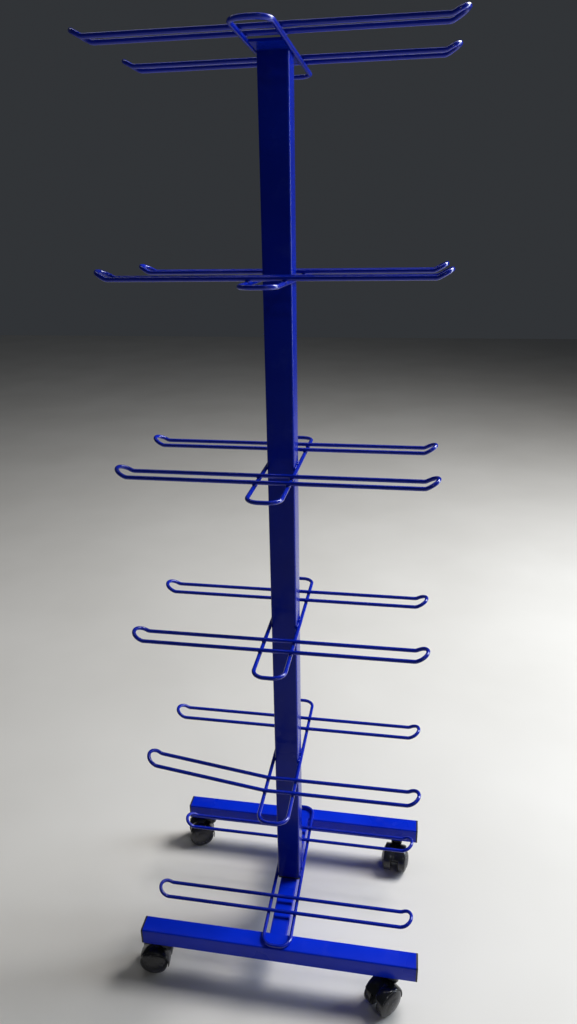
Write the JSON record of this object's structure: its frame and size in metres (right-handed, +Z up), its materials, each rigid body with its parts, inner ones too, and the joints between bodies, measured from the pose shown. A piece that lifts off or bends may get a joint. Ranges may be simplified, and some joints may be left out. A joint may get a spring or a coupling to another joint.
{
  "type": "rotating display rack",
  "caption": "Tall square post on a wheeled H-shaped base, carrying evenly spaced tiers of wire arm loops across rod rings, turning on a hidden spindle",
  "frame": {"origin": "on the floor, on the axis of the column", "axes": "+X to the right along the arms, +Y to the rear, +Z up"},
  "size_m": [0.4801, 0.3601, 1.4289],
  "materials": {
    "base_blue": "glossy blue powder coat",
    "column_blue": "glossy blue powder coat",
    "rod_blue": "glossy blue powder coat",
    "plug_black": "black moulded plastic",
    "hood_black": "glossy black plastic",
    "wheel_black": "glossy black plastic",
    "bush_nylon": "natural nylon",
    "plain_steel": "zinc plated"
  },
  "bodies": {
    "base": {"front_bar": "base_blue", "rear_bar": "base_blue", "centre_beam": "base_blue", "front_end_plugs": "plug_black", "rear_end_plugs": "plug_black", "pivot_spindle": "plain_steel", "thrust_washer": "bush_nylon", "retaining_washer": "plain_steel", "retaining_screw": "plain_steel", "socket_fl": "plug_black", "socket_fr": "plug_black", "socket_rl": "plug_black", "socket_rr": "plug_black"},
    "rotor": {"column_tube": "column_blue", "lower_bush": "plug_black", "upper_bush": "bush_nylon", "top_cap_plate": "column_blue", "ring_1": "rod_blue", "ring_2": "rod_blue", "ring_3": "rod_blue", "ring_4": "rod_blue", "ring_5": "rod_blue", "ring_6": "rod_blue", "front_arm_1": "rod_blue", "front_arm_2": "rod_blue", "front_arm_3": "rod_blue", "front_arm_4": "rod_blue", "front_arm_5": "rod_blue", "front_arm_6": "rod_blue", "rear_arm_1": "rod_blue", "rear_arm_2": "rod_blue", "rear_arm_3": "rod_blue", "rear_arm_4": "rod_blue", "rear_arm_5": "rod_blue", "rear_arm_6": "rod_blue"},
    "swivel_fl": {"stem_fl": "plain_steel", "hood_fl": "hood_black", "axle_fl": "plain_steel"},
    "wheel_left_fl": {"wheel_a_fl": "wheel_black"},
    "wheel_right_fl": {"wheel_b_fl": "wheel_black"},
    "swivel_fr": {"stem_fr": "plain_steel", "hood_fr": "hood_black", "axle_fr": "plain_steel"},
    "wheel_left_fr": {"wheel_a_fr": "wheel_black"},
    "wheel_right_fr": {"wheel_b_fr": "wheel_black"},
    "swivel_rl": {"stem_rl": "plain_steel", "hood_rl": "hood_black", "axle_rl": "plain_steel"},
    "wheel_left_rl": {"wheel_a_rl": "wheel_black"},
    "wheel_right_rl": {"wheel_b_rl": "wheel_black"},
    "swivel_rr": {"stem_rr": "plain_steel", "hood_rr": "hood_black", "axle_rr": "plain_steel"},
    "wheel_left_rr": {"wheel_a_rr": "wheel_black"},
    "wheel_right_rr": {"wheel_b_rr": "wheel_black"}
  },
  "joints": [
    {"name": "rack_turn", "type": "hinge", "parent": "base", "child": "rotor", "pos_m": [0, 0, 0.0925], "axis": [0, 0, 1], "continuous": true},
    {"name": "castor_swivel_fl", "type": "hinge", "parent": "base", "child": "swivel_fl", "pos_m": [-0.195, -0.146, 0.024], "axis": [0, 0, 1], "continuous": true},
    {"name": "wheel_spin_left_fl", "type": "hinge", "parent": "swivel_fl", "child": "wheel_left_fl", "pos_m": [-0.21692, -0.14792, 0.024], "axis": [0.0872, -0.9962, 0], "continuous": true},
    {"name": "wheel_spin_right_fl", "type": "hinge", "parent": "swivel_fl", "child": "wheel_right_fl", "pos_m": [-0.21692, -0.14792, 0.024], "axis": [0.0872, -0.9962, 0], "continuous": true},
    {"name": "castor_swivel_fr", "type": "hinge", "parent": "base", "child": "swivel_fr", "pos_m": [0.195, -0.146, 0.024], "axis": [0, 0, 1], "continuous": true},
    {"name": "wheel_spin_left_fr", "type": "hinge", "parent": "swivel_fr", "child": "wheel_left_fr", "pos_m": [0.18028, -0.16235, 0.024], "axis": [0.7431, -0.6691, 0], "continuous": true},
    {"name": "wheel_spin_right_fr", "type": "hinge", "parent": "swivel_fr", "child": "wheel_right_fr", "pos_m": [0.18028, -0.16235, 0.024], "axis": [0.7431, -0.6691, 0], "continuous": true},
    {"name": "castor_swivel_rl", "type": "hinge", "parent": "base", "child": "swivel_rl", "pos_m": [-0.195, 0.146, 0.024], "axis": [0, 0, 1], "continuous": true},
    {"name": "wheel_spin_left_rl", "type": "hinge", "parent": "swivel_rl", "child": "wheel_left_rl", "pos_m": [-0.21567, 0.13848, 0.024], "axis": [0.342, -0.9397, 0], "continuous": true},
    {"name": "wheel_spin_right_rl", "type": "hinge", "parent": "swivel_rl", "child": "wheel_right_rl", "pos_m": [-0.21567, 0.13848, 0.024], "axis": [0.342, -0.9397, 0], "continuous": true},
    {"name": "castor_swivel_rr", "type": "hinge", "parent": "base", "child": "swivel_rr", "pos_m": [0.195, 0.146, 0.024], "axis": [0, 0, 1], "continuous": true},
    {"name": "wheel_spin_left_rr", "type": "hinge", "parent": "swivel_rr", "child": "wheel_left_rr", "pos_m": [0.19308, 0.12408, 0.024], "axis": [0.9962, -0.0872, 0], "continuous": true},
    {"name": "wheel_spin_right_rr", "type": "hinge", "parent": "swivel_rr", "child": "wheel_right_rr", "pos_m": [0.19308, 0.12408, 0.024], "axis": [0.9962, -0.0872, 0], "continuous": true}
  ]
}
